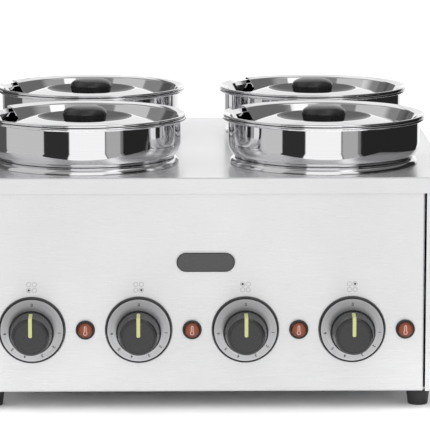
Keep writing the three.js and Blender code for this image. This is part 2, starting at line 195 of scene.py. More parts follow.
def plate(width, height, corner, low, high, edge, steps=4):
    """A plate in XY with rounded corners, whose upper edge is rounded too."""
    loops = [rounded_rectangle(width, height, corner, low)]
    for angle in (math.radians(90 * i / steps) for i in range(steps + 1)):
        inset = edge * (1 - math.cos(angle))
        level = high - edge * (1 - math.sin(angle))
        loops.append(rounded_rectangle(width - 2 * inset, height - 2 * inset, corner - inset, level))
    return lofted(loops)


def block(low, high, radius=0.02, steps=4):
    """A box between two corners with all its edges rounded."""
    size, centre = high - low, (low + high) / 2
    loops = []
    for side in (-1, 1):
        angles = [math.radians(90 * i / steps) for i in range(steps + 1)]
        for angle in angles if side > 0 else reversed(angles):
            inset = radius * (1 - math.cos(angle))
            level = side * (size.z / 2 - radius * (1 - math.sin(angle)))
            loop = rounded_rectangle(size.x - 2 * inset, size.y - 2 * inset, radius * 1.01 - inset, level)
            loops.append([Vector(point) + centre for point in loop])
    return lofted(loops)


def prism(outline, low, high):
    """A straight solid along Z from an outline in XY."""
    return lofted([[(x, y, level) for x, y in outline] for level in (low, high)])


def walked(path, step):
    """The path again, with points at even steps along it."""
    points = [Vector(point) for point in path]
    lengths = [0.0]
    for before, after in zip(points, points[1:]):
        lengths.append(lengths[-1] + (after - before).length)
    count = max(2, round(lengths[-1] / step))
    even, leg = [], 0
    for along in (lengths[-1] * i / count for i in range(count + 1)):
        while leg < len(points) - 2 and lengths[leg + 1] < along:
            leg += 1
        share = (along - lengths[leg]) / (lengths[leg + 1] - lengths[leg])
        even.append(tuple(points[leg].lerp(points[leg + 1], share)))
    return even


def strip(path, width, thickness, end=1.4, crown=0.0, across=8):
    """A strip with rounded ends along a path of (y, z) points, raised by a crown along its middle."""
    step = 0.35
    path = walked(path, step)
    upper, lower = offset(path, thickness), path
    loops = []
    for i in range(len(path)):
        reach = min(i, len(path) - 1 - i) * step
        left = max(end - reach, 0.0)
        half = width / 2 - end + math.sqrt(max(end**2 - left**2, 0.0)) + 0.02
        top, bottom = Vector(upper[i]), Vector(lower[i])
        up = (top - bottom).normalized()
        loop = [(half, *bottom), (-half, *bottom)]
        for k in range(across + 1):
            share = 2 * k / across - 1
            point = top + up * crown * (1 - share**2)
            loop.append((half * share, *point))
        loops.append(loop)
    return lofted(loops)


def moved(shape, matrix):
    points, faces = shape
    return [matrix @ Vector(point) for point in points], faces


def together(*shapes):
    """Several shapes as one, each its own closed surface."""
    points, faces = [], []
    for more_points, more_faces in shapes:
        faces += [[i + len(points) for i in face] for face in more_faces]
        points += more_points
    return points, faces


def shift(x=0.0, y=0.0, z=0.0):
    return Matrix.Translation((x, y, z))


FORWARD = Matrix.Rotation(math.radians(90), 4, "X")  # turns Z to point out of the front panel
BACKWARD = Matrix.Rotation(math.radians(180), 4, "Z") @ FORWARD

# ---- Objects ----------------------------------------------------------------------------------------


def new_object(name, shape, place=None):
    """A mesh object from a shape in millimetres. place is its frame, with its translation in metres."""
    mesh = bpy.data.meshes.new(name)
    mesh.from_pydata([Vector(point) * MM for point in shape[0]], [], shape[1])
    shaped = bmesh.new()
    shaped.from_mesh(mesh)
    bmesh.ops.recalc_face_normals(shaped, faces=shaped.faces)
    shaped.to_mesh(mesh)
    shaped.free()
    made = bpy.data.objects.new(name, mesh)
    bpy.context.scene.collection.objects.link(made)
    if place is not None:
        made.matrix_world = place
    return made


def evaluated_mesh(thing):
    return bpy.data.meshes.new_from_object(thing.evaluated_get(bpy.context.evaluated_depsgraph_get()))


def cut(thing, *cutters):
    """Takes each cutter's shape, given in the object's own frame, out of the object."""
    for i, shape in enumerate(cutters):
        cutter = new_object(f"{thing.name}_cutter_{i}", shape, thing.matrix_world.copy())
        modifier = thing.modifiers.new("cut", "BOOLEAN")
        modifier.object = cutter
        modifier.solver = "EXACT"
        thing.data = evaluated_mesh(thing)
        thing.modifiers.clear()
        bpy.data.objects.remove(cutter)
    return thing


def add_brushing(mesh):
    """A UV map in metres whose U runs level along each face, which is how the sheets are brushed."""
    layer = mesh.uv_layers.new(name=BRUSHING)
    for face in mesh.polygons:
        size = [abs(x) for x in face.normal]
        facing = size.index(max(size))
        u, v = ((1, 2), (0, 2), (0, 1))[facing]
        for loop in face.loop_indices:
            point = mesh.vertices[mesh.loops[loop].vertex_index].co
            layer.data[loop].uv = (point[u], point[v])


def dress(thing, material, body, replaces=()):
    """Gives an object its finish and shading, and makes it a piece of the assembly."""
    add_brushing(thing.data)
    thing.data.materials.clear()
    thing.data.materials.append(material)
    thing.data.shade_smooth()
    thing.data.set_sharp_from_angle(angle=SOFT_ANGLE)
    normals = thing.modifiers.new("normals", "WEIGHTED_NORMAL")
    normals.keep_sharp = True
    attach(thing, body)
    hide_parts(*replaces)
    return thing


def lettering(text, size, thickness, weight):
    """The shape of a short text in XY, centred on the origin, in millimetres."""
    curve = bpy.data.curves.new("lettering", "FONT")
    curve.body = text
    curve.size = size
    curve.extrude = thickness / 2
    curve.offset = weight
    curve.align_x = "CENTER"
    curve.align_y = "CENTER"
    holder = bpy.data.objects.new("lettering", curve)
    bpy.context.scene.collection.objects.link(holder)
    mesh = evaluated_mesh(holder)
    welded = bmesh.new()
    welded.from_mesh(mesh)
    bmesh.ops.remove_doubles(welded, verts=welded.verts, dist=size * 1e-4)
    points = [tuple(v.co) for v in welded.verts]
    faces = [[v.index for v in f.verts] for f in welded.faces]
    welded.free()
    bpy.data.objects.remove(holder)
    return points, faces


# ---- Materials --------------------------------------------------------------------------------------


def add_node(tree, kind, inputs=None, **settings):
    """A shader node with its settings, and inputs given as values or as other nodes' outputs."""
    node = tree.nodes.new(kind)
    for key, value in settings.items():
        setattr(node, key, value)
    for key, value in (inputs or {}).items():
        if isinstance(value, bpy.types.NodeSocket):
            tree.links.new(value, node.inputs[key])
        else:
            node.inputs[key].default_value = value
    return node


def new_material(name, **settings):
    """A material and its node tree and shader. Settings are socket names with _ for spaces."""
    made = bpy.data.materials.new(name)
    made.use_nodes = True
    shader = made.node_tree.nodes["Principled BSDF"]
    for key, value in settings.items():
        shader.inputs[key.replace("_", " ")].default_value = value
    return made, made.node_tree, shader


def own_coordinates(tree, scale):
    inputs = {"Vector": add_node(tree, "ShaderNodeTexCoord").outputs["Object"], "Scale": scale}
    return add_node(tree, "ShaderNodeMapping", inputs).outputs["Vector"]


def noise(tree, vector, scale, detail=3.0, roughness=0.55):
    inputs = {"Vector": vector, "Scale": scale, "Detail": detail, "Roughness": roughness}
    return add_node(tree, "ShaderNodeTexNoise", inputs).outputs["Fac"]


def spread(tree, value, low, high):
    """Noise values between a third and two thirds, spread over low to high."""
    inputs = {"Value": value, "From Min": 0.33, "From Max": 0.67, "To Min": low, "To Max": high}
    return add_node(tree, "ShaderNodeMapRange", inputs).outputs["Result"]


def tint(tree, shader, factor, dark, light):
    mixed = add_node(tree, "ShaderNodeMix", {"Factor": factor}, data_type="RGBA")
    for socket, colour in ((mixed.inputs[6], dark), (mixed.inputs[7], light)):
        socket.default_value = (*colour, 1)
    tree.links.new(mixed.outputs[2], shader.inputs["Base Color"])


def bump(tree, shader, height, depth, strength=1.0):
    inputs = {"Height": height, "Distance": depth * MM, "Strength": strength}
    raised = add_node(tree, "ShaderNodeBump", inputs)
    tree.links.new(raised.outputs["Normal"], shader.inputs["Normal"])


def brushed_steel(name, dark, light, rough, metallic, grain=1900.0):
    """Satin stainless steel, brushed along its UV map's U, with fine grain and faint cloudiness."""
    made, tree, shader = new_material(name, Metallic=metallic, Anisotropic=0.8, Anisotropic_Rotation=0.25)
    place = add_node(tree, "ShaderNodeUVMap", uv_map=BRUSHING)
    inputs = {"Vector": place.outputs["UV"], "Scale": (0.012, 1.0, 1.0)}
    stretched = add_node(tree, "ShaderNodeMapping", inputs)
    lines = noise(tree, stretched.outputs["Vector"], grain, 4.0, 0.65)
    clouds = noise(tree, place.outputs["UV"], 7.0)
    tree.links.new(spread(tree, lines, *rough), shader.inputs["Roughness"])
    tint(tree, shader, spread(tree, clouds, 0.0, 1.0), dark, light)
    bump(tree, shader, lines, 0.004)
    along = add_node(tree, "ShaderNodeTangent", direction_type="UV_MAP", uv_map=BRUSHING)
    tree.links.new(along.outputs["Tangent"], shader.inputs["Tangent"])
    return made


def spun_steel(name, rough, depth, dark=(0.76, 0.76, 0.77), light=(0.82, 0.82, 0.83)):
    """Turned and polished stainless steel, with fine polishing lines round its own Z axis."""
    made, tree, shader = new_material(name, Metallic=1.0)
    place = add_node(tree, "ShaderNodeTexCoord").outputs["Object"]
    split = add_node(tree, "ShaderNodeSeparateXYZ", {"Vector": place})
    flat = add_node(tree, "ShaderNodeCombineXYZ", {"X": split.outputs["X"], "Y": split.outputs["Y"]})
    radius = add_node(tree, "ShaderNodeVectorMath", {0: flat.outputs["Vector"]}, operation="LENGTH")
    section = add_node(tree, "ShaderNodeCombineXYZ", {"X": radius.outputs["Value"], "Z": split.outputs["Z"]})
    lines = noise(tree, section.outputs["Vector"], 1500.0, 3.0, 0.6)
    smears = noise(tree, own_coordinates(tree, (1.0, 1.0, 2.5)), 24.0, 4.0)
    tree.links.new(spread(tree, smears, *rough), shader.inputs["Roughness"])
    tint(tree, shader, spread(tree, lines, 0.0, 1.0), dark, light)
    bump(tree, shader, lines, depth)
    return made


def moulded(name, dark, light, rough, grain=0.9, depth=0.012, **settings):
    """A moulded plastic or rubber skin with a fine grain, grain being its size in millimetres."""
    made, tree, shader = new_material(name, **settings)
    place = own_coordinates(tree, (1.0, 1.0, 1.0))
    texture = noise(tree, place, 1 / (grain * MM), 4.0, 0.6)
    patches = noise(tree, place, 60.0)
    tree.links.new(spread(tree, patches, *rough), shader.inputs["Roughness"])
    tint(tree, shader, spread(tree, texture, 0.0, 1.0), dark, light)
    bump(tree, shader, texture, depth)
    return made


def dial_metal():
    """The scale ring's aluminium: spun, so its highlights run outwards from the middle."""
    made = spun_steel("dial_aluminium", (0.30, 0.38), 0.002, (0.46, 0.46, 0.47), (0.60, 0.60, 0.61))
    tree = made.node_tree
    shader = tree.nodes["Principled BSDF"]
    shader.inputs["Anisotropic"].default_value = 0.75
    shader.inputs["Anisotropic Rotation"].default_value = 0.25
    around = add_node(tree, "ShaderNodeTangent", direction_type="RADIAL", axis="Z")
    tree.links.new(around.outputs["Tangent"], shader.inputs["Tangent"])
    return made


def lens_amber():
    """Translucent amber-brown plastic under a clear skin, with painted shade that darkens its colour towards
    its rim.
    """
    made, tree, shader = new_material(
        "lens_amber", Roughness=0.3, IOR=1.33, Coat_Weight=0.5, Coat_Roughness=0.06, Subsurface_Weight=0.15,
        Subsurface_Scale=0.002,
    )
    place = add_node(tree, "ShaderNodeTexCoord").outputs["Object"]
    flat = add_node(tree, "ShaderNodeVectorMath", {0: place, 1: (1.0, 1.0, 0.0)}, operation="MULTIPLY")
    radius = add_node(tree, "ShaderNodeVectorMath", {0: flat.outputs["Vector"]}, operation="LENGTH")
    # painted shade: the colour darkens from the middle of the lens out to its rim
    inputs = {"Value": radius.outputs["Value"], "From Min": 0.002, "From Max": 0.0078}
    edge = add_node(tree, "ShaderNodeMapRange", inputs).outputs["Result"]
    tint(tree, shader, edge, (0.19, 0.040, 0.006), (0.09, 0.014, 0.003))
    bump(tree, shader, noise(tree, place, 700.0), 0.01)
    return made


def dish_steel():
    """The same steel in the lid's dished centre with painted shade: a much darker colour and a dimmer
    reflection stand in for how dark the dish looks at a flat angle of view.
    """
    made = spun_steel("lid_steel_painted_shade", (0.06, 0.12), 0.0005, (0.17, 0.17, 0.17), (0.23, 0.23, 0.23))
    shader = made.node_tree.nodes["Principled BSDF"]
    shader.inputs["Specular Tint"].default_value = (0.42, 0.42, 0.42, 1.0)
    return made


FINISH = {
    "sheet": brushed_steel("brushed_steel", (0.563, 0.563, 0.568), (0.603, 0.603, 0.608), (0.26, 0.34), 0.75),
    # the top plate's upward faces: a lighter copy of the sheet steel, which is painted light
    "top": brushed_steel("top_steel_painted_light", (0.79, 0.79, 0.80), (0.83, 0.83, 0.84), (0.20, 0.27), 0.88),
    "collar": spun_steel("rolled_steel", (0.08, 0.14), 0.0008),
    "pot": spun_steel("polished_steel", (0.03, 0.06), 0.0004),
    "lid": spun_steel("lid_steel", (0.03, 0.06), 0.0003),
    # the lid's dished centre: a darker copy of the lid steel, which is painted shade
    "lid_painted_shade": dish_steel(),
    "dial": dial_metal(),
    "knob": moulded("knob_plastic", (0.011, 0.011, 0.012), (0.016, 0.016, 0.017), (0.20, 0.28), 0.6, 0.006),
    "lid_knob": moulded(
        "lid_knob_plastic", (0.009, 0.009, 0.010), (0.014, 0.014, 0.015), (0.22, 0.30), 0.6, 0.006),
    "rim": moulded("rim_plastic", (0.006, 0.006, 0.007), (0.010, 0.010, 0.011), (0.18, 0.26), 0.6, 0.004),
    "pointer": moulded("pointer_enamel", (0.29, 0.30, 0.12), (0.33, 0.34, 0.15), (0.30, 0.38), 0.5, 0.003),
    "ink": moulded("printed_ink", (0.012, 0.012, 0.014), (0.022, 0.022, 0.024), (0.45, 0.55), 0.3, 0.002),
    "pale_ink": moulded("pale_ink", (0.09, 0.09, 0.09), (0.12, 0.12, 0.12), (0.45, 0.55), 0.3, 0.002),
    "symbol": moulded("lens_print", (0.46, 0.32, 0.30), (0.52, 0.37, 0.35), (0.35, 0.45), 0.3, 0.002),
    "lens": lens_amber(),
    "badge": moulded("badge_enamel", (0.030, 0.030, 0.031), (0.036, 0.036, 0.037), (0.24, 0.30), 0.5, 0.003),
    "badge_border": moulded(
        "badge_border", (0.010, 0.010, 0.011), (0.014, 0.014, 0.015), (0.24, 0.30), 0.5, 0.003),
    "badge_edge": spun_steel("badge_edge", (0.14, 0.20), 0.0005),
    "rubber": moulded("foot_rubber", (0.014, 0.014, 0.015), (0.021, 0.021, 0.022), (0.55, 0.72), 0.8, 0.03),
    "nylon": moulded("gland_nylon", (0.012, 0.012, 0.013), (0.019, 0.019, 0.020), (0.34, 0.44), 0.7, 0.008),
    "heater": moulded(
        "cast_aluminium", (0.42, 0.42, 0.43), (0.55, 0.55, 0.56), (0.48, 0.62), 1.2, 0.05, Metallic=0.9),
    "inner": moulded("thermoset", (0.38, 0.37, 0.34), (0.43, 0.42, 0.39), (0.45, 0.58), 0.8, 0.01),
    "base": moulded(
        "base_steel", (0.45, 0.45, 0.46), (0.52, 0.52, 0.53), (0.28, 0.38), 0.7, 0.004, Metallic=1.0),
    "foil": brushed_steel("label_foil", (0.55, 0.56, 0.57), (0.60, 0.61, 0.62), (0.30, 0.42), 0.8),
    "screw": spun_steel("screw_steel", (0.22, 0.32), 0.001, (0.60, 0.60, 0.61), (0.70, 0.70, 0.71)),
}


# ---- Places -----------------------------------------------------------------------------------------


def middle(node):
    low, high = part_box(node)
    return (low + high) / 2


plate_low, plate_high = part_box("top_plate")
panel_low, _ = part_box("front_panel")
rear_low, rear_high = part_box("rear_panel")


def pot_place(station):
    """The point on the top plate in the middle of a pot."""
    centre = middle(f"pot_{station}")
    return Matrix.Translation((centre.x, centre.y, plate_high.z))


def panel_place(node):
    """The point on the front panel's outer face behind the middle of a node."""
    centre = middle(node)
    return Matrix.Translation((centre.x, panel_low.y, centre.z)) @ FORWARD


def rear_place(node):
    """The point on the rear panel's outer face behind the middle of a node."""
    centre = middle(node)
    return Matrix.Translation((centre.x, rear_high.y, centre.z)) @ BACKWARD


# ---- Casing -----------------------------------------------------------------------------------------


def tray(name, node, axis, side):
    """A sheet-steel tray that fills a CAD node's box and is open on one side of one axis."""
    low, high = (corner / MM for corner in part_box(node))
    past = 4 * BEND
    outer, inner = [low.copy(), high.copy()], [low + Vector((SHEET,) * 3), high - Vector((SHEET,) * 3)]
    trim = [low - Vector((past,) * 3), high + Vector((past,) * 3)]
    end = 1 if side > 0 else 0
    trim[1 - end][axis] = outer[end][axis]
    trim[end][axis] = outer[end][axis] + 2 * side * past
    outer[end][axis] += side * past
    inner[end][axis] = outer[end][axis] + side * past
    made = new_object(name, block(*outer, BEND))
    return cut(made, block(*inner, BEND - SHEET), block(*trim))


def top_sheet():
    """The top plate with its apron, and a round opening over each well."""
    sheet = tray("top_sheet", "top_plate", 2, -1)
    radius = WELL["outer_radius"] + WELL["lift"]
    opening = [(0, -5), (radius, -5), (radius, 5), (0, 5)]
    holes = []
    for station in STATIONS:
        at = pot_place(station).translation / MM
        holes.append(moved(turned(opening), Matrix.Translation(at)))
    return cut(sheet, *holes)


def front_sheet():
    """The control panel, with a hole for each knob's stem and each pilot lamp."""
    sheet = tray("front_sheet", "front_panel", 1, 1)
    holes = []
    for station in STATIONS:
        controls = ((f"dial_{station}", DIAL["bore"]), (f"lamp_holder_{station}", LAMP["panel_hole"]))
        for node, radius in controls:
            centre = middle(node) / MM
            at = Matrix.Translation((centre.x, panel_low.y / MM, centre.z)) @ FORWARD
            holes.append(moved(turned([(0, -10), (radius, -10), (radius, 10), (0, 10)], SMALL), at))
    return cut(sheet, *holes)


def rear_sheet():
    """The rear panel, with a hole for the cord gland."""
    sheet = tray("rear_sheet", "rear_panel", 1, -1)
    centre = middle("cord_gland") / MM
    hole = turned([(0, -10), (GLAND_HOLE, -10), (GLAND_HOLE, 10), (0, 10)], SMALL)
    at = Matrix.Translation((centre.x, rear_high.y / MM, centre.z)) @ FORWARD
    return cut(sheet, moved(hole, at))


def side_sheet(name, node, side):
    """A side panel with the strip that is folded round beside the control panel."""
    low, high = (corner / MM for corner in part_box(node))
    outside = high.x if side > 0 else low.x
    inside, strip_end = outside - side * SHEET, outside - side * SIDE_RETURN
    outline = rounded([
        (outside, low.y, BEND), (outside, high.y), (inside, high.y), (inside, low.y + SHEET, BEND - SHEET),
        (strip_end, low.y + SHEET), (strip_end, low.y),
    ])
    return new_object(name, prism(outline, low.z, high.z))


def foot_shape():
    """A tapered rubber foot with a recess under it for its screw."""
    return turned(rounded([
        (0, 5), (3.4, 5), (3.4, 0, 0.5), (10.5, 0, 1.0),
        (13.0, 18.4, 0.7), (12.2, 19.2), (12.2, 19.7), (0, 19.7),
    ]), SMALL)


def screw_shape():
    """A pan-head screw's head."""
    return turned([(0, 0), (3.6, 0), *arc((2.4, 0.6), 1.2, 0, 60, 4), (1.6, 1.95), (0, 2.1)], 32)


def screw_recess():
    """The two cutters for the cross in a screw's head."""
    arms = ((1.9, 0.35), (0.35, 1.9))
    return [block(Vector((-x, -y, 1.0)), Vector((x, y, 3.0)), 0.1) for x, y in arms]


def badge_layer(inset, top):
    """One layer of the blank badge, from the panel's face up to a share of the badge's thickness."""
    low, high = (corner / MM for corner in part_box("badge"))
    width, height, thick = high.x - low.x - 2 * inset, high.z - low.z - 2 * inset, high.y - low.y
    return plate(width, height, height / 2 - 0.06, 0.05, 0.3 + thick * top, 0.3)


# ---- Wells, pots and lids ---------------------------------------------------------------------------


def well_shape():
    """A pressed round tank whose half-round collar sits on the top plate."""
    radius, sheet, corner = WELL["outer_radius"], WELL["sheet"], WELL["bottom_corner"]
    bottom, lift = WELL["bottom"], WELL["lift"]
    outside = [(0, bottom), *arc((radius - corner, bottom + corner), corner, -90, 0, 8), (radius, lift)]
    collar = arc((WELL["collar_centre"], lift), WELL["collar_radius"], 0, 78, 12)
    lip = (radius - sheet, WELL["collar_radius"] - 0.7)
    return turned([*outside, *collar, lip, *reversed(offset(outside, sheet))])


def pot_shape():
    """A pot with a rolled rim, a straight wall, a curved shoulder and a narrower body in the well."""
    body, wall, corner = POT["body_radius"], POT["wall_radius"], POT["bottom_corner"]
    centre = (wall - POT["shoulder_radius"], POT["shoulder_top"])
    foot = -math.degrees(math.acos((body - centre[0]) / POT["shoulder_radius"]))
    outside = [
        (0, POT["bottom"]), *arc((body - corner, POT["bottom"] + corner), corner, -90, 0, 8),
        *arc(centre, POT["shoulder_radius"], foot, 0, 14), (wall, POT["wall_top"]),
    ]
    bead = arc(POT["bead"], POT["bead_radius"], -150, 130, 14)
    return turned([*outside, *bead, *reversed(offset(outside, POT["sheet"]))])


def lid_height(radius):
    """The lid's upper surface: a dished centre, a round ridge and a slope down to the trough."""
    if radius <= LID["ridge_radius"]:
        return LID["centre"] + (LID["ridge"] - LID["centre"]) * (radius / LID["ridge_radius"]) ** 2.4
    share = (radius - LID["ridge_radius"]) / (LID["trough_radius"] - LID["ridge_radius"])
    return LID["ridge"] - (LID["ridge"] - LID["trough"]) * share**1.2


def notch_shape(angle):
    """The ladle notch's cutter: a slot with rounded inner corners, at an angle round the rim."""
    inner, half, corner = NOTCH["inner_radius"], NOTCH["width"] / 2, NOTCH["corner"]
    outline = rounded([(inner, -half, corner), (130, -half), (130, half), (inner, half, corner)], 6)
    return moved(prism(outline, 20, 70), Matrix.Rotation(math.radians(angle), 4, "Z"))


def lid_shape():
    """A lid that hangs in the pot's mouth from its rolled rim."""
    ridge, trough = LID["ridge_radius"], LID["trough_radius"]
    radii = [*spaced(0, ridge, 12), *spaced(ridge, trough - 2, 10)]
    wall_radius, wall_height = LID["wall_top"]
    corners = [
        (trough - 2.0, lid_height(trough - 2.0)), (trough, LID["trough"], 1.6),
        (wall_radius, wall_height, 1.2), (wall_radius + 1.6, wall_height + 1.6),
    ]
    upper = [*((r, lid_height(r)) for r in radii), *rounded(corners, 4)]
    bead = arc(LID["bead"], LID["bead_radius"], -110, 120, 12)
    return turned([*offset(upper, -LID["sheet"]), *bead, *reversed(upper)])


def lid_knob_shape():
    """The lid's round grip: a band under a low dome, with a slight step between them."""
    base, radius, low = LID_KNOB["base_radius"], LID_KNOB["radius"], LID_KNOB["bottom"]
    band, top = LID_KNOB["band_top"], LID_KNOB["top"]
    dome = []
    for angle in spaced(0, math.pi / 2, 22):
        dome.append((radius * math.cos(angle) ** 0.6, band + (top - band) * math.sin(angle) ** 1.1))
    side = rounded([(0, low), (base, low, 0.8), (radius - 0.1, band - 0.6)])
    return turned([*side, *dome, (0, top)], FINE)


# ---- Controls ---------------------------------------------------------------------------------------


def dial_shape():
    """The dial's black moulding: a sloping rim round a sunk floor."""
    radius, bore, floor, front = DIAL["radius"], DIAL["bore"], DIAL["floor"], DIAL["front"]
    return turned(rounded([
        (bore, 0.3), (radius, 0.3, 0.2), (radius, 1.6, 0.4), (radius - 1.2, front, 0.4),
        (radius - 2.0, front, 0.4), (radius - 2.4, floor), (bore, floor),
    ]))


def scale_shape():
    """The bright ring that carries the numerals, slightly dished."""
    radius, low = DIAL["scale_radius"], DIAL["floor"] + 0.05
    return turned(rounded([(12.0, low), (radius, low), (radius, 4.55, 0.25), (25.0, 4.2), (12.0, 4.2)]))


def numeral_shapes():
    """The scale's numerals, printed round the ring with their feet towards the middle."""
    digits = []
    for digit, clockwise, distance in NUMERALS:
        at = Matrix.Rotation(-math.radians(clockwise), 4, "Z") @ shift(y=distance, z=4.5)
        digits.append(moved(lettering(str(digit), NUMERAL_SIZE, 0.1, 0.1), at))
    return together(*digits)


def grip_path(clear):
    """The knob's surface from low on its grip, over the bend, to the middle of its face."""
    foot, head, front = KNOB["foot"], KNOB["head"], KNOB["front"]
    return offset(rounded([
        (foot - 1.0, POINTER["start"]), (head, front - 2.2, 1.6), (head - 2.4, front - 0.25, 1.2), (0, front),
    ], 6), clear)


def control_knob_shape():
    """A knob with a skirt, a dark gap, a tapered grip and a slightly crowned face inside a groove."""
    skirt, back, shelf = KNOB["skirt"], KNOB["back"], KNOB["skirt_front"]
    foot, head, front = KNOB["foot"], KNOB["head"], KNOB["front"]
    stem, end = KNOB["stem"], KNOB["stem_end"]
    return turned(rounded([
        (0, end), (stem, end, 0.4), (stem, back), (skirt - 2.4, back, 0.4), (skirt, shelf, 0.7),
        (foot + 0.7, shelf, 0.2), (foot + 0.6, shelf - 1.6), (foot, shelf - 1.6), (foot, shelf + 0.4),
        (head, front - 2.2, 1.6), (head - 2.4, front - 0.25, 0.5), (head - 2.6, front - 0.9),
        (head - 3.2, front - 0.9), (head - 3.4, front - 0.2, 0.4), (9.0, front - 0.02, 8.0), (0, front),
    ]))


def lamp_holder_shape():
    """The pilot lamp's black holder: a rounded flange with a recess, and its body through the panel."""
    flange, barrel, recess = LAMP["flange"], LAMP["barrel"], LAMP["recess"]
    return turned(rounded([
        (0, -24), (barrel, -24, 0.6), (barrel, 0.3), (flange, 0.3, 0.2), (flange, 3.0, 0.9),
        (recess, 3.0, 0.3), (recess, 1.0), (0, 1.0),
    ]), SMALL)


def lens_shape():
    """The pilot lamp's lens: a low drum with a well rounded edge and an almost flat front."""
    radius = LAMP["lens"]
    return turned(rounded([(0, 1.3), (radius, 1.3), (radius, 4.9, 1.5), (5.5, 5.3), (0, 5.4)], 7), SMALL)


def thermometer_shape():
    """The thermometer symbol on the lens: the outline of a narrow tube that opens into a bulb."""
    outline = []
    for stem, bulb in ((1.25, 2.15), (0.65, 1.55)):
        meet = math.degrees(math.asin(stem / bulb))
        outline.append([*arc((0, -2.9), bulb, 90 + meet, 450 - meet, 24), *arc((0, 3.6), stem, 0, 180, 12)])
    low, high = 5.3, 5.5
    points = [(x, y, z) for z in (low, high) for loop in outline for x, y in loop]
    count = len(outline[0])
    inner, upper = count, 2 * count
    faces = []
    for k in range(count):
        n = (k + 1) % count
        faces.append([n, k, inner + k, inner + n])
        faces.append([upper + k, upper + n, upper + inner + n, upper + inner + k])
        faces.append([k, n, upper + n, upper + k])
        faces.append([inner + n, inner + k, upper + inner + k, upper + inner + n])
    return points, faces


def symbol_places():
    """Where the printed symbol above a knob has a mark for each pot, laid out as the pots are."""
    places = {}
    for name in STATIONS:
        places[name] = shift(-2.95 if "left" in name else 2.95, -3.1 if "front" in name else 3.1)
    return places


def symbol_rings():
    """The four rings of the symbol, one for each pot."""
    ring = turned([(2.15, 0.02), (2.45, 0.02), (2.45, 0.1), (2.15, 0.1)], 40)
    return together(*(moved(ring, at) for at in symbol_places().values()))


def symbol_dot(station):
    """The filled dot in the ring of the pot that the knob below it heats."""
    return moved(turned([(0, 0.02), (1.2, 0.02), (1.2, 0.1), (0, 0.1)], 32), symbol_places()[station])


# ---- Back fittings ----------------------------------------------------------------------------------


def gland_shape():
    """The cord gland: a thread, the round core of its hexagonal nut and a domed cap, with a bore right
    through.
    """
    return turned(rounded([
        (4.6, -8), (7.5, -8, 0.5), (7.5, 0.3), (11.4, 0.3), (11.4, 6.0, 0.6), (9.2, 6.4), (9.5, 7.4, 0.4),
        (9.5, 14.0, 2.0), (7.0, 18.0, 0.8), (4.6, 18.0),
    ]), SMALL)


def hex_nut_shape():
    """The gland's nut, a hexagon 24 across its corners with its corners eased."""
    corners = arc((0, 0), 12.0, 0, 300, 5)
    outline = rounded([(x, y, 0.8) for x, y in corners], 3)
    inner = [(x * 0.95, y * 0.95) for x, y in outline]
    loops = [[(x, y, z) for x, y in loop] for loop, z in ((outline, 0.35), (outline, 5.3), (inner, 6.05))]
    return lofted(loops)


# ---- Assembly ---------------------------------------------------------------------------------------


def build_casing():
    """The sheets of the casing, its feet and its badge."""
    top = top_sheet()
    dress(top, FINISH["sheet"], "casing", ["top_plate"])
    top.data.materials.append(FINISH["top"])
    # painted light: faces that face up take the lighter copy of the same steel
    for face in top.data.polygons:
        face.material_index = 1 if face.normal.z > 0.9 else 0
    dress(front_sheet(), FINISH["sheet"], "casing", ["front_panel"])
    dress(rear_sheet(), FINISH["sheet"], "casing", ["rear_panel"])
    for side, name in ((-1, "left"), (1, "right")):
        sheet = side_sheet(f"{name}_sheet", f"{name}_panel", side)
        dress(sheet, FINISH["sheet"], "casing", [f"{name}_panel"])
    for corner in STATIONS:
        node = f"foot_{corner}"
        centre = middle(node)
        foot = new_object(f"rubber_{node}", foot_shape(), Matrix.Translation((centre.x, centre.y, 0)))
        dress(foot, FINISH["rubber"], "casing", [node])
    for finish, inset, share in (("badge_edge", 0.0, 0.5), ("badge_border", 0.6, 0.75), ("badge", 1.7, 0.9)):
        layer = new_object(f"{finish}_plate", badge_layer(inset, share), panel_place("badge"))
        dress(layer, FINISH[finish], "casing", ["badge"])


def build_pot_station(station):
    """One well with its pot, its lid and the lid's knob."""
    at = pot_place(station)
    tank = new_object(f"tank_{station}", well_shape(), at)
    dress(tank, FINISH["collar"], "casing", [f"well_{station}"])
    shell = new_object(f"shell_{station}", pot_shape(), at)
    dress(shell, FINISH["pot"], f"{station}_pot", [f"pot_{station}"])
    cover = cut(new_object(f"cover_{station}", lid_shape(), at), notch_shape(NOTCH_ANGLES[station]))
    dress(cover, FINISH["lid"], f"{station}_lid", [f"lid_{station}"])
    # painted shade: the dished centre's faces that face up take the darker copy of the lid steel
    cover.data.materials.append(FINISH["lid_painted_shade"])
    for face in cover.data.polygons:
        if face.normal.z > 0 and face.center.xy.length < LID["dish_radius"] * MM:
            face.material_index = 1
    grip = new_object(f"cover_grip_{station}", lid_knob_shape(), at)
    dress(grip, FINISH["lid_knob"], f"{station}_lid", [f"lid_knob_{station}"])


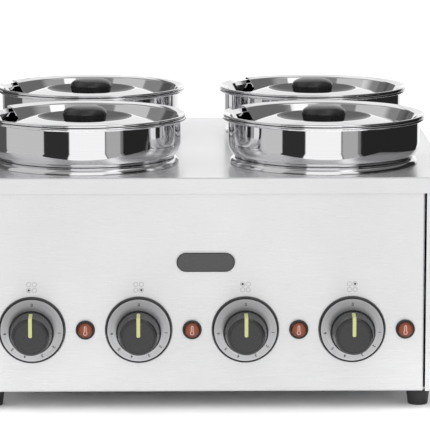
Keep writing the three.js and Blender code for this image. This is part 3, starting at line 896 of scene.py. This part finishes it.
def build_control_station(station):
    """One pot's dial, knob and pilot lamp, with the symbols that belong to them."""
    at = panel_place(f"dial_{station}")
    knob_body = f"{station}_knob"
    rim = new_object(f"dial_rim_{station}", dial_shape(), at)
    dress(rim, FINISH["rim"], "casing", [f"dial_{station}"])
    scale = new_object(f"dial_scale_{station}", scale_shape(), at)
    dress(scale, FINISH["dial"], "casing")
    numerals = new_object(f"dial_numerals_{station}", numeral_shapes(), at)
    dress(numerals, FINISH["ink"], "casing")
    grip = new_object(f"grip_{station}", control_knob_shape(), at)
    cut(grip, strip(grip_path(-0.5), POINTER["slot_width"], POINTER["slot_depth"], 1.6))
    dress(grip, FINISH["knob"], knob_body, [f"knob_{station}"])
    pointer = strip(grip_path(-0.45), POINTER["width"], POINTER["thickness"], 1.4, POINTER["crown"])
    inlay = new_object(f"inlay_{station}", pointer, at)
    dress(inlay, FINISH["pointer"], knob_body, [f"knob_pointer_{station}"])
    symbol_at = at @ shift(y=SYMBOL_HEIGHT * MM)
    rings = new_object(f"place_rings_{station}", symbol_rings(), symbol_at)
    dress(rings, FINISH["pale_ink"], "casing")
    dot = new_object(f"place_dot_{station}", symbol_dot(station), symbol_at)
    dress(dot, FINISH["ink"], "casing")
    lamp_at = panel_place(f"lamp_holder_{station}")
    holder = new_object(f"lamp_bezel_{station}", lamp_holder_shape(), lamp_at)
    dress(holder, FINISH["rim"], "casing", [f"lamp_holder_{station}"])
    lens = new_object(f"lens_{station}", lens_shape(), lamp_at)
    dress(lens, FINISH["lens"], "casing", [f"lamp_lens_{station}"])
    symbol = new_object(f"lens_symbol_{station}", thermometer_shape(), lamp_at)
    dress(symbol, FINISH["symbol"], "casing")


def build_back():
    """The cord gland, the blank rating plate and the screws on the rear panel."""
    gland_at = rear_place("cord_gland")
    gland = new_object("gland_body", gland_shape(), gland_at)
    dress(gland, FINISH["nylon"], "casing", ["cord_gland"])
    nut = new_object("gland_nut", hex_nut_shape(), gland_at)
    cut(nut, turned([(0, -1), (11.3, -1), (11.3, 9), (0, 9)], SMALL))
    dress(nut, FINISH["nylon"], "casing")
    low, high = (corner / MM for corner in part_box("rating_plate"))
    foil_shape = plate(high.x - low.x, high.z - low.z, 3.0, 0.05, 0.5, 0.15)
    foil = new_object("rating_foil", foil_shape, rear_place("rating_plate"))
    dress(foil, FINISH["foil"], "casing", ["rating_plate"])
    for i, (x, z) in enumerate(REAR_SCREWS):
        at = Matrix.Translation((x * MM, rear_high.y, rear_low.z + z * MM)) @ BACKWARD
        head = cut(new_object(f"rear_screw_{i}", screw_shape(), at), *screw_recess())
        dress(head, FINISH["screw"], "casing")


def finish_hidden_nodes():
    """New materials for the CAD nodes that stay as they are, inside the casing."""
    finishes = {"base_plate": "base", "terminal_block": "inner"}
    for station in STATIONS:
        finishes[f"heater_{station}"] = "heater"
        finishes[f"thermostat_{station}"] = "inner"
    for node, finish in finishes.items():
        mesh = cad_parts[node].data
        mesh.materials.clear()
        mesh.materials.append(FINISH[finish])


# ---- Studio -----------------------------------------------------------------------------------------

# The camera from the middle of the top plate's front edge in metres, and its turns in degrees.
CAMERA = {"right": -0.0378, "back": 3.0587, "up": 0.4552, "pitch": 9.186, "yaw": 0.89, "lens": 247.24}
ROOM_LIGHT = 2.2
TABLE = 900.0
TENT_RADIUS = 2000.0
TENT_GREY = 0.40
# The tent's light panels and dark flags, each laid over the ones before it: from and to in degrees to
# the right of straight ahead, from and to in degrees above eye level, brightness, and edge softness.
TENT = (
    (-184, -160, -90, 36, 0.97, 3), (-162, -125, -90, 36, 0.17, 4), (140, 184, -90, 36, 0.97, 4),
    (-184, -150, 36, 64, 1.05, 3), (-152, -126, 36, 58, 0.32, 4), (150, 184, 36, 64, 1.0, 3),
    (-184, -158, -90, 8.2, 1.1, 0.4), (-160, -145, -90, 5, 0.42, 3), (150, 184, -90, 8.2, 1.1, 0.4),
    (-146, -99, -90, 24, 0.10, 3), (-127, -99, 24, 40, 0.27, 4), (-127, -97, 40, 64, 0.78, 4),
    (-99, -46, -90, 62, 0.64, 1.5), (-50, -22, 46, 66, 0.25, 4),
    (-47, -18.5, -90, 8, 0.033, 1.2), (-19, 20, -90, 38, 1.12, 2), (-24, 26, 38, 70, 0.55, 5),
    (20, 41, -90, 7, 0.47, 1.2), (20, 41, 7, 42, 1.05, 2), (28, 53, 40, 62, 1.3, 2),
    (20, 21.2, -90, 7, 0.15, 0.8), (38, 41, -90, 7, 0.22, 1), (41, 142, -90, 26, 0.022, 2.5),
    (41, 142, 26, 47, 0.17, 2.5), (54, 97, 60, 82, 1.5, 2.5), (97, 140, 46, 62, 0.14, 4),
)
TENT_FLARE = (-12.0, -75.0, 0.45)  # the panels widen below the first height, and by 1/0.45 at the second


def window(tree, value, low, high, soft):
    """1 where value, in radians, is between two angles given in degrees, with soft edges, and 0 outside."""
    edges = []
    for start, end in ((low - soft / 2, low + soft / 2), (high + soft / 2, high - soft / 2)):
        inputs = {"Value": value, "From Min": math.radians(start), "From Max": math.radians(end)}
        edge = add_node(tree, "ShaderNodeMapRange", inputs, interpolation_type="SMOOTHSTEP")
        edges.append(edge.outputs["Result"])
    return add_node(tree, "ShaderNodeMath", {0: edges[0], 1: edges[1]}, operation="MULTIPLY").outputs[0]


def tent_material():
    """Light panels and dark flags by their direction from the tent's middle."""
    made = bpy.data.materials.new("tent")
    made.use_nodes = True
    made.cycles.emission_sampling = "NONE"
    tree = made.node_tree
    tree.nodes.clear()
    direction = add_node(tree, "ShaderNodeTexCoord").outputs["Object"]
    unit = add_node(tree, "ShaderNodeVectorMath", {0: direction}, operation="NORMALIZE")
    split = add_node(tree, "ShaderNodeSeparateXYZ", {"Vector": unit.outputs["Vector"]})
    ahead = add_node(tree, "ShaderNodeMath", {0: split.outputs["Y"], 1: -1.0}, operation="MULTIPLY")
    sides = {0: split.outputs["X"], 1: ahead.outputs[0]}
    across = add_node(tree, "ShaderNodeMath", sides, operation="ARCTAN2")
    above = add_node(tree, "ShaderNodeMath", {0: split.outputs["Z"]}, operation="ARCSINE")
    start, end, share = TENT_FLARE
    inputs = {"Value": above.outputs[0], "From Min": math.radians(start), "From Max": math.radians(end)}
    flare = add_node(tree, "ShaderNodeMapRange", {**inputs, "To Min": 1.0, "To Max": share})
    turn = {0: across.outputs[0], 1: flare.outputs["Result"]}
    across = add_node(tree, "ShaderNodeMath", turn, operation="MULTIPLY")
    brightness = TENT_GREY
    for left, right, low, high, level, soft in TENT:
        columns = window(tree, across.outputs[0], left, right, soft)
        rows = window(tree, above.outputs[0], low, high, soft * 2)
        share = add_node(tree, "ShaderNodeMath", {0: columns, 1: rows}, operation="MULTIPLY")
        mixed = add_node(tree, "ShaderNodeMix", {"Factor": share.outputs[0], 2: brightness, 3: level})
        brightness = mixed.outputs[0]
    light = add_node(tree, "ShaderNodeEmission", {"Strength": brightness})
    output = add_node(tree, "ShaderNodeOutputMaterial")
    tree.links.new(light.outputs[0], output.inputs["Surface"])
    return made


def build_studio():
    """A pale table in even white light, inside a tent that only shiny surfaces see."""
    world = bpy.data.worlds.new("studio")
    bpy.context.scene.world = world
    world.use_nodes = True
    background = world.node_tree.nodes["Background"]
    background.inputs["Color"].default_value = (1, 1, 1, 1)
    background.inputs["Strength"].default_value = ROOM_LIGHT
    world.cycles_visibility.glossy = False
    outline = [(0, -TENT_RADIUS), *arc((0, 0), TENT_RADIUS, -85, 85, 34), (0, TENT_RADIUS)]
    tent = new_object("tent", turned(outline), Matrix.Translation((0, 0, plate_high.z)))
    tent.data.materials.append(tent_material())
    tent.visible_camera = tent.visible_diffuse = tent.visible_shadow = tent.visible_transmission = False
    table = new_object("table", plate(TABLE, TABLE, 60, -20, 0, 2))
    table_white, _, _ = new_material("table_white", Base_Color=(0.9, 0.9, 0.9, 1), Roughness=0.8)
    table.data.materials.append(table_white)


def build_camera():
    data = bpy.data.cameras.new("camera")
    data.lens = CAMERA["lens"]
    data.sensor_width = 36.0
    data.clip_end = 100.0
    camera = bpy.data.objects.new("camera", data)
    bpy.context.scene.collection.objects.link(camera)
    centre = (plate_low.x + plate_high.x) / 2
    camera.location = (centre + CAMERA["right"], plate_low.y - CAMERA["back"], plate_high.z + CAMERA["up"])
    camera.rotation_euler = (math.radians(90 - CAMERA["pitch"]), 0, -math.radians(CAMERA["yaw"]))
    bpy.context.scene.camera = camera


build_casing()
for station in STATIONS:
    build_pot_station(station)
    build_control_station(station)
build_back()
finish_hidden_nodes()
build_studio()
build_camera()
bpy.context.scene.view_settings.view_transform = "Standard"
